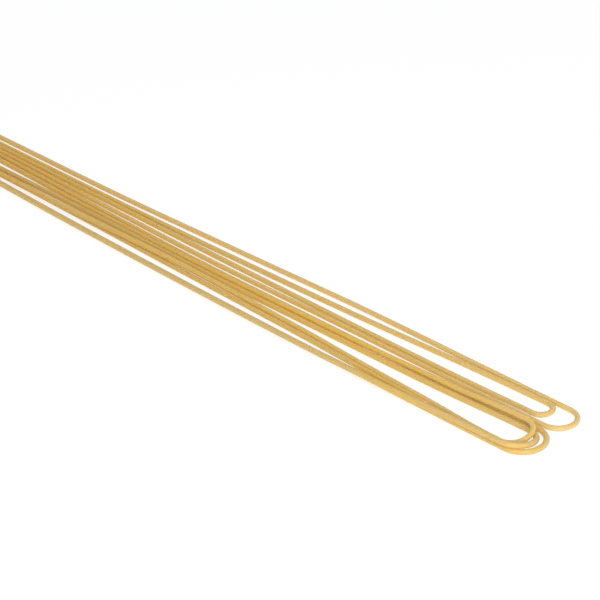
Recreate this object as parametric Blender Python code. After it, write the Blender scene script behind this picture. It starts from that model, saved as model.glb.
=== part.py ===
"""Bundle of dry spaghetti: five long strands folded in half and one straight loose strand.

The strands lie on a table along X, with their folds at +X and their cut ends at -X. The
origin is on the table, under the middle of the bundle. Each strand is laid in turn, and
rests on the table or on the strands that were laid before it.
"""

import math
from collections import namedtuple

import bpy
from mathutils import Vector

# Lengths in this script are millimetres, and MM turns them into Blender's metres.
MM = 0.001

OBJECT_NAME = "dry_spaghetti_bundle"

SIDES = 8  # flat sides of each strand
LEG_STEP = 7.5  # spacing of the points along a leg
BOW_STEPS = 14  # steps round the half turn of a fold
CLEARANCE = 0.06  # gap between two strands that touch

# The places along X at which each leg's sideways position is given.
STATIONS = (-180.0, -110.0, -50.0, 10.0, 70.0, 100.0, 130.0)

# A leg is "far" (+Y) or "near" (-Y). Its list holds its Y at each station. The bow is the
# half turn of a fold: the X of its centre, then the Y of the far and of the near leg there.
# The ends are the X of the cut ends. The reach is how far from a support a stiff strand
# needs to come down to the table.
Strand = namedtuple("Strand", "name thickness reach ends far near bow colour")

STRANDS = (
    Strand(
        name="folded_strand_a",
        thickness=1.9,
        reach=60.0,
        ends=(-178.0, -180.0),
        far=(17.7, 16.95, 16.2, 16.9, 17.85, 17.65, 17.2),
        near=(9.4, 9.15, 6.95, 4.7, 4.25, 3.9, 3.5),
        bow=(170.6, 16.8, 3.1),
        colour=(0.74, 0.52, 0.22),
    ),
    Strand(
        name="folded_strand_b",
        thickness=1.95,
        reach=60.0,
        ends=(-176.0, -179.0),
        far=(13.7, 13.17, 12.25, 12.1, 12.7, 13.5, 14.4),
        near=(11.5, 11.15, 10.1, 8.5, 7.15, 6.6, 6.25),
        bow=(162.6, 14.8, 6.4),
        colour=(0.72, 0.50, 0.19),
    ),
    Strand(
        name="folded_strand_e",
        thickness=2.0,
        reach=60.0,
        ends=(-178.0, 101.0),
        far=(7.35, 6.85, 3.75, 1.15, 0.25, -0.15, -0.4),
        near=(-12.8, -13.2, -13.6, -14.0, -14.8, -15.5, -16.26),
        bow=(170.5, 0.0, -16.9),
        colour=(0.66, 0.42, 0.14),
    ),
    Strand(
        name="loose_strand",
        thickness=1.9,
        reach=60.0,
        ends=(-175.0, 132.5),
        far=(-2.8, -3.05, -5.2, -7.85, -10.5, -12.34, -14.1),
        near=None,
        bow=None,
        colour=(0.68, 0.45, 0.16),
    ),
    Strand(
        name="folded_strand_d",
        thickness=2.1,
        reach=105.0,
        ends=(-180.0, -174.0),
        far=(0.3, -0.3, -1.1, -2.8, -3.25, -3.5, -3.55),
        near=(-7.0, -7.55, -10.7, -13.38, -16.33, -17.18, -17.57),
        bow=(168.7, -2.7, -17.75),
        colour=(0.73, 0.53, 0.25),
    ),
    Strand(
        name="folded_strand_c",
        thickness=1.95,
        reach=65.0,
        ends=(-177.0, -178.0),
        far=(5.2, 4.3, 1.4, -0.8, -1.6, -1.7, -1.6),
        near=(-4.85, -4.55, -6.2, -6.6, -8.38, -10.27, -12.09),
        bow=(166.4, -1.3, -14.5),
        colour=(0.75, 0.50, 0.17),
    ),
)

ROUGHNESS = 0.55
SETTLE_ROUNDS = 6


def clear_scene():
    for scene_object in list(bpy.data.objects):
        bpy.data.objects.remove(scene_object, do_unlink=True)


def station_slopes(xs, ys, ends_level):
    """The slope of a leg at each of its stations, taken from the stations beside it."""
    last = len(xs) - 1
    slopes = []
    for i in range(last + 1):
        before = max(i - 1, 0)
        after = min(i + 1, last)
        slopes.append((ys[after] - ys[before]) / (xs[after] - xs[before]))
    if ends_level:
        slopes[last] = 0.0
    return slopes


def sideways(xs, ys, slopes, x):
    """Y at x on the smooth cubic that runs through the stations."""
    i = max(k for k in range(len(xs) - 1) if k == 0 or xs[k] <= x)
    span = xs[i + 1] - xs[i]
    t = (x - xs[i]) / span
    from_start = (1 - t) ** 2 * ((1 + 2 * t) * ys[i] + t * span * slopes[i])
    from_end = t**2 * ((3 - 2 * t) * ys[i + 1] - (1 - t) * span * slopes[i + 1])
    return from_start + from_end


def plan_leg(ys, start, stop, bow_y=None):
    """Points of a leg seen from above, from x = start to x = stop.

    A leg that leads into a fold also passes through bow_y at its stop, along X.
    """
    xs = list(STATIONS)
    ys = list(ys)
    if bow_y is not None:
        xs.append(stop)
        ys.append(bow_y)
    slopes = station_slopes(xs, ys, ends_level=bow_y is not None)
    count = round((stop - start) / LEG_STEP)
    places = [start + (stop - start) * i / count for i in range(count + 1)]
    return [Vector((x, sideways(xs, ys, slopes, x))) for x in places]


def plan_bow(bow):
    """Points of the half turn seen from above, without its two ends, far side first."""
    x, far_y, near_y = bow
    radius = (far_y - near_y) / 2
    middle = (far_y + near_y) / 2
    turns = [math.pi * k / BOW_STEPS for k in range(1, BOW_STEPS)]
    return [
        Vector((x + radius * math.sin(turn), middle + radius * math.cos(turn)))
        for turn in turns
    ]


def table_height(radius):
    """Height of a strand's centre line when one of its flat sides lies on the table."""
    return radius * math.cos(math.pi / SIDES)


def rest_height(place, radius, laid):
    """The lowest centre line at this place that clears the table and what is laid."""
    height = table_height(radius)
    for route, other_radius in laid:
        contact = radius + other_radius + CLEARANCE
        for start, stop in zip(route, route[1:]):
            if not min(start.x, stop.x) - contact < place.x < max(start.x, stop.x) + contact:
                continue
            run = (stop - start).xy
            t = (place - start.xy).dot(run) / run.length_squared
            nearest = start.lerp(stop, min(max(t, 0.0), 1.0))
            beside = (nearest.xy - place).length
            if beside < contact:
                height = max(height, nearest.z + math.sqrt(contact**2 - beside**2))
    return height


def ease(t):
    """1 at t = 0, falling smoothly to 0 at t = 1 and beyond."""
    t = min(abs(t), 1.0)
    return (1 - t) ** 2 * (1 + 2 * t)


def bridge(places, heights, strand):
    """Heights of a stiff leg, which eases down on both sides of each place that lifts it."""
    table = table_height(strand.thickness / 2)
    return [
        table + max((h - table) * ease((here.x - p.x) / strand.reach) for p, h in zip(places, heights))
        for here in places
    ]


def join(places, heights):
    return [Vector((place.x, place.y, height)) for place, height in zip(places, heights)]


def lay_straight(strand, laid):
    """Centre line of a strand without a fold."""
    places = plan_leg(strand.far, *strand.ends)
    heights = [rest_height(p, strand.thickness / 2, laid) for p in places]
    return join(places, bridge(places, heights, strand))


def lay_folded(strand, laid):
    """Centre line of a folded strand, from its far end round the bow to its near end.

    The bow is a flat half ring. It tilts between the heights of the two legs, and where a
    laid strand is in its way, the leg on that side is lifted until the ring clears it.
    """
    radius = strand.thickness / 2
    bow_x, far_y, near_y = strand.bow
    far = plan_leg(strand.far, strand.ends[0], bow_x, far_y)
    near = plan_leg(strand.near, strand.ends[1], bow_x, near_y)
    bow = plan_bow(strand.bow)
    far_rests = [rest_height(p, radius, laid) for p in far]
    near_rests = [rest_height(p, radius, laid) for p in near]
    bow_rests = [rest_height(p, radius, laid) for p in bow]
    far_shares = [(p.y - near_y) / (far_y - near_y) for p in bow]
    for _ in range(SETTLE_ROUNDS):
        far_heights = bridge(far, far_rests, strand)
        near_heights = bridge(near, near_rests, strand)
        bow_heights = [
            share * far_heights[-1] + (1 - share) * near_heights[-1] for share in far_shares
        ]
        for rest, height, share in zip(bow_rests, bow_heights, far_shares):
            missing = max(rest - height, 0.0)
            if share >= 0.5:
                far_rests[-1] = max(far_rests[-1], far_heights[-1] + missing / share)
            else:
                near_rests[-1] = max(near_rests[-1], near_heights[-1] + missing / (1 - share))
    return join(far, far_heights) + join(bow, bow_heights) + join(near, near_heights)[::-1]


def pasta_material(name, colour):
    material = bpy.data.materials.new(name)
    material.use_nodes = True
    shader = material.node_tree.nodes["Principled BSDF"]
    shader.inputs["Base Color"].default_value = (*colour, 1.0)
    shader.inputs["Roughness"].default_value = ROUGHNESS
    shader.inputs["Metallic"].default_value = 0.0
    return material


def tube_along(strand, route):
    """The strand as a capped tube with flat sides, one of them facing down."""
    curve = bpy.data.curves.new(strand.name, "CURVE")
    curve.dimensions = "3D"
    curve.twist_mode = "Z_UP"
    curve.bevel_depth = strand.thickness / 2 * MM
    curve.bevel_resolution = SIDES // 2 - 2
    curve.use_fill_caps = True
    spline = curve.splines.new("POLY")
    spline.points.add(len(route) - 1)
    for point, place in zip(spline.points, route):
        point.co = (*(place * MM), 1.0)
        point.tilt = math.pi / SIDES
    curve.materials.append(pasta_material(strand.name + "_pasta", strand.colour))
    return bpy.data.objects.new(strand.name, curve)


def build():
    clear_scene()
    collection = bpy.data.collections.new(OBJECT_NAME)
    bpy.context.scene.collection.children.link(collection)
    laid = []
    for strand in STRANDS:
        lay = lay_folded if strand.bow else lay_straight
        route = lay(strand, laid)
        laid.append((route, strand.thickness / 2))
        collection.objects.link(tube_along(strand, route))


build()
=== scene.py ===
# %% [markdown]
# # A bundle of dry spaghetti
#
# Long spaghetti is pushed through a round die, hung over a rod and dried, so each strand
# comes out folded in half, with a round bow where it hung. Five folded strands and one
# straight loose strand lie here on a pale table. The solids that this script loads are plain
# tubes with eight sides. They have the right places and sizes, but they look like rods of
# plastic. The script makes a fine round strand for each of them, lays it on the same route,
# and gives it the floury, slightly see-through look of dried dough.

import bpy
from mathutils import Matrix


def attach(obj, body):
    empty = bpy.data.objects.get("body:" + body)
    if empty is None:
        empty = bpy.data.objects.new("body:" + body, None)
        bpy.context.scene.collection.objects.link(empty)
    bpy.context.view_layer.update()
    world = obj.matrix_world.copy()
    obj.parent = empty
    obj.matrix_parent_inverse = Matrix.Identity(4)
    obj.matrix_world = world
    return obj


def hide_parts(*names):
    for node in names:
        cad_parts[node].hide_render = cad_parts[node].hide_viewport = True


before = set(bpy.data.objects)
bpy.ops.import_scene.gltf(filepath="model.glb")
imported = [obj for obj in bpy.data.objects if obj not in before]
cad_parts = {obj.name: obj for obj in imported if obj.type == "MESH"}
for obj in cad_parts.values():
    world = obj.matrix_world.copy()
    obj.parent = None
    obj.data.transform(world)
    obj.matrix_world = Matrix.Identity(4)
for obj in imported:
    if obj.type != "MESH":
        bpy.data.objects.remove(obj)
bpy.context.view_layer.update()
print("solids:", ", ".join(sorted(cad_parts)))

# %% Tools used below
import math
from bisect import bisect_right
from collections import namedtuple

import bmesh
import bpy
from mathutils import Vector, kdtree, noise

# Lengths are written in millimetres, and MM turns them into Blender's metres.
MM = 0.001

# %% [markdown]
# ## The camera
#
# Strands this thin are looked at from well back through a long lens, which keeps them nearly
# parallel. The camera looks down on the table at 30 degrees, from the side of the folds, so
# that the strands run from the upper left to the lower right. An Empty could be its target,
# but a direction turned into a rotation needs no second object.

# %% Camera
AIM = Vector((52.0, 8.05, 0.0))
CAMERA_DISTANCE = 1250.0
CAMERA_ELEVATION = math.radians(30.0)
CAMERA_AZIMUTH = math.radians(43.95)
LENS = 210.0
SENSOR = 36.0

level = math.cos(CAMERA_ELEVATION)
to_camera = Vector(
    (
        level * math.sin(CAMERA_AZIMUTH),
        -level * math.cos(CAMERA_AZIMUTH),
        math.sin(CAMERA_ELEVATION),
    )
)
camera_data = bpy.data.cameras.new("camera")
camera_data.lens = LENS
camera_data.sensor_width = SENSOR
camera = bpy.data.objects.new("camera", camera_data)
camera.location = (AIM + to_camera * CAMERA_DISTANCE) * MM
camera.rotation_mode = "QUATERNION"
camera.rotation_quaternion = (-to_camera).to_track_quat("-Z", "Y")
bpy.context.scene.collection.objects.link(camera)
bpy.context.scene.camera = camera
print("camera at", [round(c, 3) for c in camera.location])

# %% [markdown]
# ## The studio
#
# Pasta for a packet or a price list is laid on a light table: a white sheet that glows, in a
# white tent that lights it from every side. Hardly a shadow is left, and the strands show
# their colour more than their roundness. An even sky is the tent here, and the table gives
# off most of its own light and reflects the rest, so that it stays white in the narrow gaps.
# A ring of area lights would do too, but it would leave bright lines on the strands. One
# large area light near the folds makes that end a little brighter than the cut ends. The
# colours are shown as they are, without a film look that would grey the yellow.

# %% Table
TABLE_SIDE = 3000.0
TABLE_WHITE = (0.30, 0.30, 0.31)
TABLE_ROUGHNESS = 0.9
TABLE_GLOW = 0.72


def new_object(name, bm, material):
    """An object at the origin that holds the mesh, smooth-shaded."""
    mesh = bpy.data.meshes.new(name)
    for face in bm.faces:
        face.smooth = True
    bm.to_mesh(mesh)
    bm.free()
    mesh.materials.append(material)
    made = bpy.data.objects.new(name, mesh)
    bpy.context.scene.collection.objects.link(made)
    return made


def plain_material(name, colour, roughness):
    material = bpy.data.materials.new(name)
    material.use_nodes = True
    shader = material.node_tree.nodes["Principled BSDF"]
    shader.inputs["Base Color"].default_value = (*colour, 1.0)
    shader.inputs["Roughness"].default_value = roughness
    return material


table_mesh = bmesh.new()
bmesh.ops.create_grid(table_mesh, size=TABLE_SIDE / 2 * MM)
table_material = plain_material("pale_table", TABLE_WHITE, TABLE_ROUGHNESS)
table_shader = table_material.node_tree.nodes["Principled BSDF"]
table_shader.inputs["Emission Color"].default_value = (1.0, 1.0, 1.0, 1.0)
table_shader.inputs["Emission Strength"].default_value = TABLE_GLOW
table = new_object("table", table_mesh, table_material)
print("table:", TABLE_SIDE * MM, "m square")

# %% Lights
SKY_STRENGTH = 0.74
SOFTBOX_SIDE = 400.0
SOFTBOX_PLACE = Vector((520.0, -300.0, 260.0))
SOFTBOX_WATTS = 2.3

sky = bpy.data.worlds.new("sky")
sky.use_nodes = True
sky.node_tree.nodes["Background"].inputs["Color"].default_value = (1.0, 1.0, 1.0, 1.0)
sky.node_tree.nodes["Background"].inputs["Strength"].default_value = SKY_STRENGTH
bpy.context.scene.world = sky

softbox_data = bpy.data.lights.new("softbox", "AREA")
softbox_data.shape = "SQUARE"
softbox_data.size = SOFTBOX_SIDE * MM
softbox_data.energy = SOFTBOX_WATTS
softbox = bpy.data.objects.new("softbox", softbox_data)
softbox.location = SOFTBOX_PLACE * MM
softbox.rotation_mode = "QUATERNION"
softbox.rotation_quaternion = (AIM - SOFTBOX_PLACE).to_track_quat("-Z", "Y")
bpy.context.scene.collection.objects.link(softbox)
bpy.context.scene.view_settings.view_transform = "Standard"
print("softbox", round((SOFTBOX_PLACE - AIM).length), "mm from the bundle")

# %% [markdown]
# ## Where each strand lies
#
# On a real table each strand lies on the top or on the strands below it, bends a little,
# and keeps its thickness. A physics simulation could drop them, but they would not come to
# rest where the solids are. So each leg's sideways position is written at a few stations
# along X, as it is in the solids, and a smooth cubic joins them. "far" is the leg at +Y and
# "near" the one at -Y. A bow is the X of its centre, then the Y of the far and near leg
# there. The ends are the X of the cut ends, and the reach is how far from a support a stiff
# strand needs to come down to the table. The strands are listed in the order in which they
# are laid.

# %% Strands
STATIONS = (-180.0, -110.0, -50.0, 10.0, 70.0, 100.0, 130.0)

Strand = namedtuple("Strand", "node thickness reach ends far near bow pallor tone")

STRANDS = (
    Strand(
        node="folded_strand_a",
        thickness=1.9,
        reach=60.0,
        ends=(-178.0, -180.0),
        far=(17.7, 16.95, 16.2, 16.9, 17.85, 17.65, 17.2),
        near=(9.4, 9.15, 6.95, 4.7, 4.25, 3.9, 3.5),
        bow=(170.6, 16.8, 3.1),
        pallor=0.75,
        tone=1.04,
    ),
    Strand(
        node="folded_strand_b",
        thickness=1.95,
        reach=60.0,
        ends=(-176.0, -179.0),
        far=(13.7, 13.17, 12.25, 12.1, 12.7, 13.5, 14.4),
        near=(11.5, 11.15, 10.1, 8.5, 7.15, 6.6, 6.25),
        bow=(162.6, 14.8, 6.4),
        pallor=0.3,
        tone=1.0,
    ),
    Strand(
        node="folded_strand_e",
        thickness=2.0,
        reach=60.0,
        ends=(-178.0, 101.0),
        far=(7.35, 6.85, 3.75, 1.15, 0.25, -0.15, -0.4),
        near=(-12.8, -13.2, -13.6, -14.0, -14.8, -15.5, -16.26),
        bow=(170.5, 0.0, -16.9),
        pallor=0.2,
        tone=0.97,
    ),
    Strand(
        node="loose_strand",
        thickness=1.9,
        reach=60.0,
        ends=(-175.0, 132.5),
        far=(-2.8, -3.05, -5.2, -7.85, -10.5, -12.34, -14.1),
        near=None,
        bow=None,
        pallor=0.3,
        tone=0.95,
    ),
    Strand(
        node="folded_strand_d",
        thickness=2.1,
        reach=105.0,
        ends=(-180.0, -174.0),
        far=(0.3, -0.3, -1.1, -2.8, -3.25, -3.5, -3.55),
        near=(-7.0, -7.55, -10.7, -13.38, -16.33, -17.18, -17.57),
        bow=(168.7, -2.7, -17.75),
        pallor=0.45,
        tone=0.93,
    ),
    Strand(
        node="folded_strand_c",
        thickness=1.95,
        reach=65.0,
        ends=(-177.0, -178.0),
        far=(5.2, 4.3, 1.4, -0.8, -1.6, -1.7, -1.6),
        near=(-4.85, -4.55, -6.2, -6.6, -8.38, -10.27, -12.09),
        bow=(166.4, -1.3, -14.5),
        pallor=0.3,
        tone=1.0,
    ),
)
print(len(STRANDS), "strands,", sum(s.bow is not None for s in STRANDS), "of them folded")

# %% [markdown]
# Seen from above, a leg is a cubic through its stations that meets the bow along X, and the
# bow is half a circle. The points are close together, because each one becomes a ring of the
# finished strand.

# %% Routes seen from above
LEG_STEP = 1.25
BOW_STEPS = 48


def station_slopes(xs, ys, ends_level):
    """The slope of a leg at each of its stations, taken from the stations beside it."""
    last = len(xs) - 1
    slopes = []
    for i in range(last + 1):
        before = max(i - 1, 0)
        after = min(i + 1, last)
        slopes.append((ys[after] - ys[before]) / (xs[after] - xs[before]))
    if ends_level:
        slopes[last] = 0.0
    return slopes


def sideways(xs, ys, slopes, x):
    """Y at x on the smooth cubic that runs through the stations."""
    i = max(k for k in range(len(xs) - 1) if k == 0 or xs[k] <= x)
    span = xs[i + 1] - xs[i]
    t = (x - xs[i]) / span
    from_start = (1 - t) ** 2 * ((1 + 2 * t) * ys[i] + t * span * slopes[i])
    from_end = t**2 * ((3 - 2 * t) * ys[i + 1] - (1 - t) * span * slopes[i + 1])
    return from_start + from_end


def plan_leg(ys, start, stop, bow_y=None):
    """Points of a leg from x = start to x = stop, and through bow_y where it meets a bow."""
    xs = list(STATIONS)
    ys = list(ys)
    if bow_y is not None:
        xs.append(stop)
        ys.append(bow_y)
    slopes = station_slopes(xs, ys, ends_level=bow_y is not None)
    count = round((stop - start) / LEG_STEP)
    places = [start + (stop - start) * i / count for i in range(count + 1)]
    return [Vector((x, sideways(xs, ys, slopes, x))) for x in places]


def plan_bow(bow):
    """Points of the half turn, without its two ends, far side first."""
    x, far_y, near_y = bow
    radius = (far_y - near_y) / 2
    middle = (far_y + near_y) / 2
    turns = [math.pi * k / BOW_STEPS for k in range(1, BOW_STEPS)]
    return [
        Vector((x + radius * math.sin(turn), middle + radius * math.cos(turn)))
        for turn in turns
    ]


print("a leg has a ring every", LEG_STEP, "mm, and a bow has", BOW_STEPS + 1)

# %% [markdown]
# The height of a strand follows from what is under it. At each point the lowest possible
# height is found, on the table or on the strands already laid. A stiff strand can't drop
# straight down beside such a support, so it eases down on both sides of it.

# %% Heights
CLEARANCE = 0.03  # gap between two strands that touch
SETTLE_ROUNDS = 6


def rest_height(place, radius, laid):
    """The lowest centre line at this place that clears the table and what is laid."""
    height = radius
    for route, other_radius in laid:
        contact = radius + other_radius + CLEARANCE
        for start, stop in zip(route, route[1:]):
            if not min(start.x, stop.x) - contact < place.x < max(start.x, stop.x) + contact:
                continue
            run = (stop - start).xy
            t = (place - start.xy).dot(run) / run.length_squared
            nearest = start.lerp(stop, min(max(t, 0.0), 1.0))
            beside = (nearest.xy - place).length
            if beside < contact:
                height = max(height, nearest.z + math.sqrt(contact**2 - beside**2))
    return height


def ease(t):
    """1 at t = 0, falling smoothly to 0 at t = 1 and beyond."""
    t = min(abs(t), 1.0)
    return (1 - t) ** 2 * (1 + 2 * t)


def bridge(places, heights, strand):
    """Heights of a stiff leg, which eases down on both sides of each place that lifts it."""
    low = strand.thickness / 2
    lifts = [(place.x, h - low) for place, h in zip(places, heights) if h > low]
    return [
        low + max((lift * ease((here.x - x) / strand.reach) for x, lift in lifts), default=0.0)
        for here in places
    ]


def join(places, heights):
    return [Vector((place.x, place.y, height)) for place, height in zip(places, heights)]


def lay_straight(strand, laid):
    """Centre line of a strand without a fold."""
    places = plan_leg(strand.far, *strand.ends)
    heights = [rest_height(p, strand.thickness / 2, laid) for p in places]
    return join(places, bridge(places, heights, strand))


def lay_folded(strand, laid):
    """Centre line of a folded strand, from its far end round the bow to its near end.

    The bow tilts between the heights of the two legs, and where a laid strand is in its way,
    the leg on that side is lifted until the bow clears it.
    """
    radius = strand.thickness / 2
    bow_x, far_y, near_y = strand.bow
    far = plan_leg(strand.far, strand.ends[0], bow_x, far_y)
    near = plan_leg(strand.near, strand.ends[1], bow_x, near_y)
    bow = plan_bow(strand.bow)
    far_rests = [rest_height(p, radius, laid) for p in far]
    near_rests = [rest_height(p, radius, laid) for p in near]
    bow_rests = [rest_height(p, radius, laid) for p in bow]
    far_shares = [(p.y - near_y) / (far_y - near_y) for p in bow]
    for _ in range(SETTLE_ROUNDS):
        far_heights = bridge(far, far_rests, strand)
        near_heights = bridge(near, near_rests, strand)
        bow_heights = [
            share * far_heights[-1] + (1 - share) * near_heights[-1] for share in far_shares
        ]
        for rest, height, share in zip(bow_rests, bow_heights, far_shares):
            missing = max(rest - height, 0.0)
            if share >= 0.5:
                far_rests[-1] = max(far_rests[-1], far_heights[-1] + missing / share)
            else:
                near_rests[-1] = max(near_rests[-1], near_heights[-1] + missing / (1 - share))
    return join(far, far_heights) + join(bow, bow_heights) + join(near, near_heights)[::-1]


routes = []
for strand in STRANDS:
    lay = lay_folded if strand.bow else lay_straight
    routes.append((lay(strand, routes), strand.thickness / 2))
    top = max(point.z for point in routes[-1][0]) + strand.thickness / 2
    print(f"{strand.node}: {len(routes[-1][0])} points, top at {top:.2f} mm")

# %% [markdown]
# ## A straight strand
#
# Like the real thing, each strand is first made straight. A disc is the cut end, and its rim
# is extruded ring by ring, first outwards to the full radius and then along the strand. The
# last ring is merged into a point, so the strand is closed. A curve with a bevel would be
# quicker, but it gives no say over each ring, and the unbent shape is useful twice: it takes
# the unevenness, and the pattern of the dough is drawn on it before it bends.

# %% Straight strand
SIDES = 24
# The rings of a cut end: distance from the end in mm, and share of the radius.
CUT_RINGS = ((0.0, 0.3), (0.0, 0.6), (0.0, 0.85), (0.04, 0.96), (0.14, 1.0))


def verts_in(geometry):
    return [item for item in geometry if isinstance(item, bmesh.types.BMVert)]


def rim_in(geometry):
    return [
        item
        for item in geometry
        if isinstance(item, bmesh.types.BMEdge) and item.is_boundary
    ]


def straight_strand(radius, distances):
    """A closed round strand along +Z, with a ring at each distance from its start."""
    length = distances[-1]
    rings = list(CUT_RINGS)
    rings += [(distance, 1.0) for distance in distances[1:-1]]
    rings += [(length - inset, share) for inset, share in reversed(CUT_RINGS)]
    bm = bmesh.new()
    bmesh.ops.create_circle(
        bm, cap_ends=True, cap_tris=True, radius=radius * rings[0][1], segments=SIDES
    )
    rim = rim_in(bm.edges)
    for (here, share), (ahead, next_share) in zip(rings, rings[1:]):
        made = bmesh.ops.extrude_edge_only(bm, edges=rim)["geom"]
        grow = next_share / share
        bmesh.ops.scale(bm, verts=verts_in(made), vec=(grow, grow, 1.0))
        bmesh.ops.translate(bm, verts=verts_in(made), vec=(0.0, 0.0, ahead - here))
        rim = rim_in(made)
    made = bmesh.ops.extrude_edge_only(bm, edges=rim)["geom"]
    bmesh.ops.pointmerge(bm, verts=verts_in(made), merge_co=(0.0, 0.0, length))
    bmesh.ops.recalc_face_normals(bm, faces=bm.faces)
    return bm


def distances_along(route):
    """How far along the route each of its points is."""
    distances = [0.0]
    for start, stop in zip(route, route[1:]):
        distances.append(distances[-1] + (stop - start).length)
    return distances


for strand, (route, _) in zip(STRANDS, routes):
    print(f"{strand.node} is {distances_along(route)[-1]:.0f} mm long when straight")

# %% [markdown]
# ## Unevenness, and the bend
#
# Pushed dough is never quite even: its thickness wanders by a hundredth or two, it is a
# little oval, and the cut ends are rough and slightly slanted. It hung on the rod while it
# was soft, and is made a twentieth wider at the fold. With more than that, the folds of two
# strands that lie against each other would cut into one another. Noise on the straight
# strand, and a widening round the distance of its fold, do this. Then each point is carried
# onto the route: its distance along picks a place on the route, and its place in the
# cross-section is turned to stand across the route there. A Curve modifier does nearly the
# same, but it can't keep each strand's upper side up.

# %% Uneven
SWELL = 0.014
SWELL_LENGTH = 19.0
OVAL = 0.012
OVAL_LENGTH = 70.0
OVAL_SEED = 40  # keeps the oval's drift apart from the swell's
BOW_WIDENING = 0.05
BOW_WIDENING_REACH = 25.0  # along the strand, to each side of the fold
CUT_ROUGHNESS = 0.07
CUT_GRAIN = 0.4
CUT_SLANT = 0.09


def drift(distance, wavelength, seed):
    """A number from about -1 to 1 that changes slowly along the strand."""
    return noise.noise(Vector((distance / wavelength, seed, 0.5)))


def make_uneven(bm, radius, length, seed, fold):
    """Roughens the straight strand, and widens it round the distance of its fold."""
    for vert in bm.verts:
        x, y, along = vert.co
        turn = math.atan2(y, x)
        oval = math.cos(2 * (turn - math.pi * drift(along, OVAL_LENGTH, seed + OVAL_SEED)))
        size = 1 + SWELL * drift(along, SWELL_LENGTH, seed) + OVAL * oval
        face_share = max(0.0, 1 - min(along, length - along) / CUT_RINGS[-1][0])
        grain = noise.noise(Vector((x / CUT_GRAIN, y / CUT_GRAIN, seed + along)))
        slant = CUT_SLANT * (x * math.cos(seed) + y * math.sin(seed)) / radius
        wide = BOW_WIDENING * ease((along - fold) / BOW_WIDENING_REACH)
        push = face_share * (CUT_ROUGHNESS * grain + slant)
        vert.co = (x * (size + wide), y * size, along + push)


# %% Bend onto the route
UP = Vector((0.0, 0.0, 1.0))


def bend(bm, route, distances):
    """Carries each point of the straight strand onto the route."""
    last = len(route) - 1
    headings = [
        (route[min(i + 1, last)] - route[max(i - 1, 0)]).normalized() for i in range(last + 1)
    ]
    for vert in bm.verts:
        x, y, along = vert.co
        i = min(max(bisect_right(distances, along) - 1, 0), last - 1)
        share = (along - distances[i]) / (distances[i + 1] - distances[i])
        heading = headings[i].lerp(headings[i + 1], min(max(share, 0.0), 1.0)).normalized()
        side = UP.cross(heading).normalized()
        vert.co = route[i].lerp(route[i + 1], share) + side * x + heading.cross(side) * y


# %% [markdown]
# ## Where strands touch
#
# Dried dough lets some light through, so where strands lie against each other the light
# crosses pasta twice and comes out deeper and more golden. The renderer shows part of that.
# The rest is painted into the colour from two numbers on each point. "touch" is 1 where the
# point faces a strand that touches it, and falls to 0 at a gap of about a millimetre; a
# bright amber is painted there as light through the dough. "crowd" is the same for a whole
# ring: it adds up how much of other strands is within a few millimetres, so a strand in the
# thick of the bundle is painted deeper in colour, as shade and light from its neighbours,
# than one that lies alone. "touch" fades out at the cut ends, or a single amber dot would
# show at a tip. A k-d tree of the route points finds the neighbours. Ambient occlusion in the
# material would be simpler, but it darkens, and the grooves are dark enough already: they
# need a deeper, painted colour and not less light.

# %% Touching
TOUCH_GAP = 1.1
SEARCH_MARGIN = 1.1  # just over the radius of the thickest strand
END_PALENESS = 3.0  # over this length, "touch" fades to 0 at a cut end
OWN_REACH = 8.0  # points this near along the same strand are not neighbours
CROWD_REACH = 5.0


def neighbour_tree(routes):
    places = [
        (point, owner, distance, radius)
        for owner, (route, radius) in enumerate(routes)
        for point, distance in zip(route, distances_along(route))
    ]
    tree = kdtree.KDTree(len(places))
    for index, place in enumerate(places):
        tree.insert(place[0], index)
    tree.balance()
    return tree, places


def touch_at(vert_place, outward, owner, along, tree, places):
    """How closely this point of a strand faces another strand, from 0 to 1."""
    most = 0.0
    for point, index, gap in tree.find_range(vert_place, TOUCH_GAP + SEARCH_MARGIN):
        _, other, other_along, other_radius = places[index]
        if other == owner and abs(other_along - along) < OWN_REACH:
            continue
        facing = max(outward.dot(point - vert_place) / gap, 0.0)
        closeness = 1 - max(gap - other_radius, 0.0) / TOUCH_GAP
        most = max(most, closeness * facing)
    return most


def crowd_at(point, owner, along, tree, places):
    """How much of other strands lies close round a point, where 1 is a strand through it.

    Such a strand has a point every LEG_STEP, and together they give 4/3 of the reach
    divided by that step.
    """
    total = 0.0
    for _, index, gap in tree.find_range(point, CROWD_REACH):
        _, other, other_along, _ = places[index]
        if other != owner or abs(other_along - along) > OWN_REACH:
            total += 1 - (gap / CROWD_REACH) ** 2
    return total * LEG_STEP / (CROWD_REACH * 4 / 3)


tree, places = neighbour_tree(routes)
print(len(places), "points on the routes")
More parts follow.
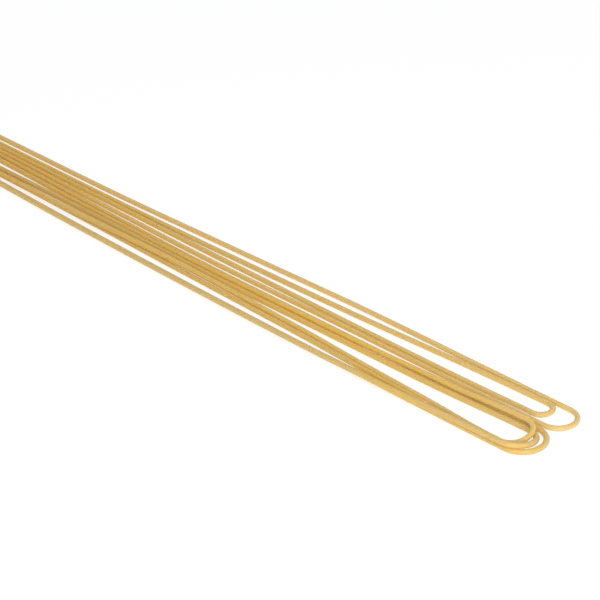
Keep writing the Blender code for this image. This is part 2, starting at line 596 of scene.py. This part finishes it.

# %% [markdown]
# ## The pasta finish
#
# Durum dough dries to a warm, matte yellow. The die leaves fine lines along the strand, flour
# leaves it pale and dull, and there are a few dark specks of bran and pale specks of dry
# flour. Light and shade are painted into the colour too: the upper side and the folds are
# painted paler, as if lit more, and strands in the thick of the bundle are painted deeper in
# colour, as shade and light passed through their neighbours: reddish gold towards the cut
# ends and brighter honey yellow towards the folds. The lines and specks follow the strand
# round its bends, so they read "unbent", each point's place on the straight strand, which is
# kept in the mesh as an attribute. A UV map would do too, but it needs a seam, and it
# stretches at the cut ends.


# %% Shader maths
class Shade:
    """One output of a node. A sum or product of Shades adds the Math nodes that do it."""

    def __init__(self, tree, socket):
        self.tree = tree
        self.socket = socket

    def node(self, kind, settings, sockets, output=0):
        """Adds a node. Its settings are set first, then the values or links of its sockets."""
        made = self.tree.nodes.new(kind)
        for name, value in settings.items():
            setattr(made, name, value)
        for name, value in sockets.items():
            if isinstance(value, Shade):
                self.tree.links.new(value.socket, made.inputs[name])
            else:
                made.inputs[name].default_value = value
        return Shade(self.tree, made.outputs[output])

    def math(self, operation, *values):
        sockets = dict(enumerate(values))
        return self.node("ShaderNodeMath", {"operation": operation}, sockets)

    def __add__(self, other):
        return self.math("ADD", self, other)

    def __sub__(self, other):
        return self.math("SUBTRACT", self, other)

    def __rsub__(self, other):
        return self.math("SUBTRACT", other, self)

    def __mul__(self, other):
        return self.math("MULTIPLY", self, other)

    __radd__ = __add__
    __rmul__ = __mul__

    def ramp(self, low, high):
        """0 at low, 1 at high, smooth between. low may be the larger."""
        return self.node(
            "ShaderNodeMapRange",
            {"interpolation_type": "SMOOTHSTEP"},
            {"Value": self, "From Min": low, "From Max": high},
        )

    def blend(self, low, high):
        """The colour low where this is 0, and the colour high where it is 1."""
        return self.node(
            "ShaderNodeMix",
            {"data_type": "RGBA"},
            {"Factor": self, 6: low, 7: high},
            output=2,
        )


print("a Shade takes +, - and *, also with a number on its left")

# %% Pasta
GOLD = (0.62, 0.437, 0.122, 1.0)
# Pale for flour, and for the painted light on the upper side and at the folds.
PALE_FLOUR_AND_LIGHT = (0.62, 0.457, 0.19, 1.0)
# Painted shade and through-light where strands crowd, brighter towards the folds.
CROWD_SHADE_GOLD = (0.64, 0.37, 0.036, 1.0)
CROWD_SHADE_HONEY = (0.68, 0.44, 0.066, 1.0)
# Painted light: a bright amber where strands touch, for light through the dough in the
# grooves.
THROUGH_LIGHT_AMBER = (1.0, 0.55, 0.03, 1.0)
CUT_FACE = (0.80, 0.62, 0.33, 1.0)

# The run of a pattern is how fast it changes along the strand, against across it. Sizes are
# in millimetres.
DIE_LINE_RUN = 0.02
DIE_LINE_SIZE = 0.3
DIE_LINE_DETAIL = 3.0
CLOUD_RUN = 0.2
CLOUD_SIZE = 3.0
CLOUD_DETAIL = 2.0
GRAIN_SIZE = 0.12
GRAIN_DETAIL = 2.0
NOISE_ROUGHNESS = 0.6

# "chosen" is the share of the cells that hold a speck, and "strength" how much it shows.
Specks = namedtuple("Specks", "run spacing size chosen strength colour")
FLOUR_SPECKS = Specks(0.7, 1.5, 0.24, 0.10, 0.7, (0.86, 0.74, 0.52, 1.0))
BRAN_SPECKS = Specks(0.5, 1.9, 0.20, 0.12, 0.75, (0.34, 0.17, 0.06, 1.0))
SPECK_CORE = 0.5  # share of a speck's radius that has its full colour

# Where the noise starts and ends to show, and how much each thing makes the dough paler.
DIE_LINE_FROM, DIE_LINE_TO = 0.35, 0.7
CLOUD_FROM, CLOUD_TO = 0.3, 0.7
DIE_LINE_PALENESS = 0.2
CLOUD_PALENESS = 0.15
# Painted light: the upper side and the fold end are made paler, as if lit more.
TOP_LIGHT_PALENESS = 0.25
BOW_LIGHT_PALENESS = 0.35
PALLOR_SHARE = 0.5

# Where painted light starts and ends: up the strand, and along X towards the brighter folds.
LIT_TOP_FROM, LIT_TOP_TO = -0.2, 0.9
BOW_LIGHT_FROM, BOW_LIGHT_TO = 100.0, 172.0
CROWD_SHADE_HONEY_FROM, CROWD_SHADE_HONEY_TO = -120.0, 60.0

# How much the strands around show, as painted shade and light through the dough.
CROWD_FULL = 1.5
CROWD_SHADE_SHARE = 0.6
CROWD_SHADE_LESS_AT_BOW = 0.3
TOUCH_FROM = 0.35
TOUCH_LIGHT_SHARE = 0.9
CUT_SHARE = 0.8

BASE_ROUGHNESS = 0.38
CLOUD_ROUGHNESS = 0.1
DIE_LINE_ROUGHNESS = 0.08
CUT_FACE_ROUGHNESS = 0.2
DIE_LINE_RELIEF = 0.7
GRAIN_RELIEF = 0.3
RELIEF_STRENGTH = 0.2
RELIEF_HEIGHT = 0.02
DOUGH_IOR = 1.45

SCATTER_RED = 1.0
SCATTER_GREEN = 0.5
SCATTER_BLUE = 0.15
SCATTER_LENGTH = 1.2


def toned(colour, tone):
    """The colour with its brightness multiplied by tone."""
    return (*(channel * tone for channel in colour[:3]), 1.0)


def pasta(name, pallor, tone):
    """Dried dough. The pallor is how floury the strand is, and the tone how bright."""
    material = bpy.data.materials.new(name)
    material.use_nodes = True
    nodes = material.node_tree.nodes
    shader = nodes["Principled BSDF"]
    start = Shade(material.node_tree, None)
    unbent = start.node(
        "ShaderNodeAttribute", {"attribute_name": "unbent"}, {}, output="Vector"
    )
    touch = start.node("ShaderNodeAttribute", {"attribute_name": "touch"}, {}, output="Fac")
    crowd = start.node("ShaderNodeAttribute", {"attribute_name": "crowd"}, {}, output="Fac")
    cut = start.node("ShaderNodeAttribute", {"attribute_name": "cut"}, {}, output="Fac")
    place = start.node("ShaderNodeTexCoord", {}, {}, output="Object")
    place_x = start.node("ShaderNodeSeparateXYZ", {}, {"Vector": place}, output="X")
    height = start.node("ShaderNodeSeparateXYZ", {}, {"Vector": unbent}, output="Y")

    def stretched(lengthwise):
        return start.node(
            "ShaderNodeVectorMath",
            {"operation": "MULTIPLY"},
            {0: unbent, 1: (1.0, 1.0, lengthwise)},
        )

    def dough_noise(vector, size, detail):
        return start.node(
            "ShaderNodeTexNoise",
            {"noise_dimensions": "3D"},
            {
                "Vector": vector,
                "Scale": 1 / (size * MM),
                "Detail": detail,
                "Roughness": NOISE_ROUGHNESS,
            },
            output="Fac",
        )

    def speckled(kind):
        """1 on small round specks, in a share of the cells."""
        cells = {"Vector": stretched(kind.run), "Scale": 1 / (kind.spacing * MM)}
        distance = start.node("ShaderNodeTexVoronoi", {}, cells, output="Distance")
        cell_colour = start.node("ShaderNodeTexVoronoi", {}, cells, output="Color")
        pick = start.node("ShaderNodeSeparateColor", {}, {"Color": cell_colour}, output="Red")
        radius = kind.size / 2 / kind.spacing
        here = distance.ramp(radius, radius * SPECK_CORE)
        return here * pick.math("LESS_THAN", pick, kind.chosen)

    die_lines = dough_noise(stretched(DIE_LINE_RUN), DIE_LINE_SIZE, DIE_LINE_DETAIL)
    clouds = dough_noise(stretched(CLOUD_RUN), CLOUD_SIZE, CLOUD_DETAIL)
    grain = dough_noise(unbent, GRAIN_SIZE, GRAIN_DETAIL)

    # Paler where it is floury, and paler on top and at the fold as painted light.
    floury = die_lines.ramp(DIE_LINE_FROM, DIE_LINE_TO) * DIE_LINE_PALENESS
    floury = floury + clouds.ramp(CLOUD_FROM, CLOUD_TO) * CLOUD_PALENESS
    lit_top = height.ramp(LIT_TOP_FROM * MM, LIT_TOP_TO * MM) * TOP_LIGHT_PALENESS
    bow_light = place_x.ramp(BOW_LIGHT_FROM * MM, BOW_LIGHT_TO * MM)
    pale = floury + lit_top + bow_light * BOW_LIGHT_PALENESS + pallor * PALLOR_SHARE
    colour = pale.ramp(0.0, 1.0).blend(toned(GOLD, tone), toned(PALE_FLOUR_AND_LIGHT, tone))

    # Painted shade and light through the dough: deeper among other strands, brighter honey
    # towards the folds, and amber where it faces one that touches it.
    crowd_shade = crowd.ramp(0.0, CROWD_FULL) * (CROWD_SHADE_SHARE - bow_light * CROWD_SHADE_LESS_AT_BOW)
    crowd_shade_colour = place_x.ramp(CROWD_SHADE_HONEY_FROM * MM, CROWD_SHADE_HONEY_TO * MM).blend(CROWD_SHADE_GOLD, CROWD_SHADE_HONEY)
    colour = crowd_shade.blend(colour, crowd_shade_colour)
    colour = (touch.ramp(TOUCH_FROM, 1.0) * TOUCH_LIGHT_SHARE).blend(colour, THROUGH_LIGHT_AMBER)

    for kind in (FLOUR_SPECKS, BRAN_SPECKS):
        colour = (speckled(kind) * kind.strength).blend(colour, kind.colour)
    colour = (cut * CUT_SHARE).blend(colour, CUT_FACE)

    roughness = BASE_ROUGHNESS + clouds * CLOUD_ROUGHNESS
    roughness = roughness + die_lines * DIE_LINE_ROUGHNESS + cut * CUT_FACE_ROUGHNESS
    relief = die_lines * DIE_LINE_RELIEF + grain * GRAIN_RELIEF
    bump = start.node(
        "ShaderNodeBump",
        {},
        {"Strength": RELIEF_STRENGTH, "Distance": RELIEF_HEIGHT * MM, "Height": relief},
    )
    links = material.node_tree.links
    links.new(colour.socket, shader.inputs["Base Color"])
    links.new(roughness.socket, shader.inputs["Roughness"])
    links.new(bump.socket, shader.inputs["Normal"])
    shader.inputs["Subsurface Weight"].default_value = 1.0
    shader.inputs["Subsurface Radius"].default_value = (
        SCATTER_RED,
        SCATTER_GREEN,
        SCATTER_BLUE,
    )
    shader.inputs["Subsurface Scale"].default_value = SCATTER_LENGTH * MM
    shader.inputs["IOR"].default_value = DOUGH_IOR
    return material


# %% [markdown]
# ## Making the strands
#
# Each strand is made straight, marked with its unbent places, made uneven, bent onto its
# route and brought to metres. It stands for its solid, and rides on the one body there is.

# %% Make each strand
SEED_STEP = 7.3
CUT_FACE_RADIUS = 0.9  # share of the radius that counts as cut face
NEARLY_NOTHING = 0.01  # so that a point at a ring's distance falls on that ring

for owner, (strand, (route, radius)) in enumerate(zip(STRANDS, routes)):
    distances = distances_along(route)
    length = distances[-1]
    bm = straight_strand(radius, distances)
    unbent_layer = bm.verts.layers.float_vector.new("unbent")
    touch_layer = bm.verts.layers.float.new("touch")
    crowd_layer = bm.verts.layers.float.new("crowd")
    cut_layer = bm.verts.layers.float.new("cut")
    crowds = [crowd_at(p, owner, d, tree, places) for p, d in zip(route, distances)]
    for vert in bm.verts:
        x, y, along = vert.co
        vert[unbent_layer] = vert.co * MM + Vector((0.0, 0.0, owner))
        ring = min(bisect_right(distances, along + NEARLY_NOTHING), len(route)) - 1
        vert[crowd_layer] = crowds[ring]
        vert[cut_layer] = 1.0 if Vector((x, y)).length < radius * CUT_FACE_RADIUS else 0.0
    fold = math.inf
    if strand.bow:
        fold = distances[route.index(max(route, key=lambda p: p.x))]
    make_uneven(bm, radius, length, owner * SEED_STEP, fold)
    alongs = [vert.co.z for vert in bm.verts]
    bend(bm, route, distances)
    bm.normal_update()
    for vert, along in zip(bm.verts, alongs):
        inside = 1 - ease(min(along, length - along) / END_PALENESS)
        touch = touch_at(vert.co, vert.normal, owner, along, tree, places)
        vert[touch_layer] = touch * inside
    bmesh.ops.scale(bm, verts=bm.verts, vec=(MM, MM, MM))
    faces = len(bm.faces)
    name = "pasta_" + strand.node
    piece = new_object(name, bm, pasta(name, strand.pallor, strand.tone))
    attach(piece, "root")
    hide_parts(strand.node)
    print(f"{piece.name}: {faces} faces, {length:.0f} mm along")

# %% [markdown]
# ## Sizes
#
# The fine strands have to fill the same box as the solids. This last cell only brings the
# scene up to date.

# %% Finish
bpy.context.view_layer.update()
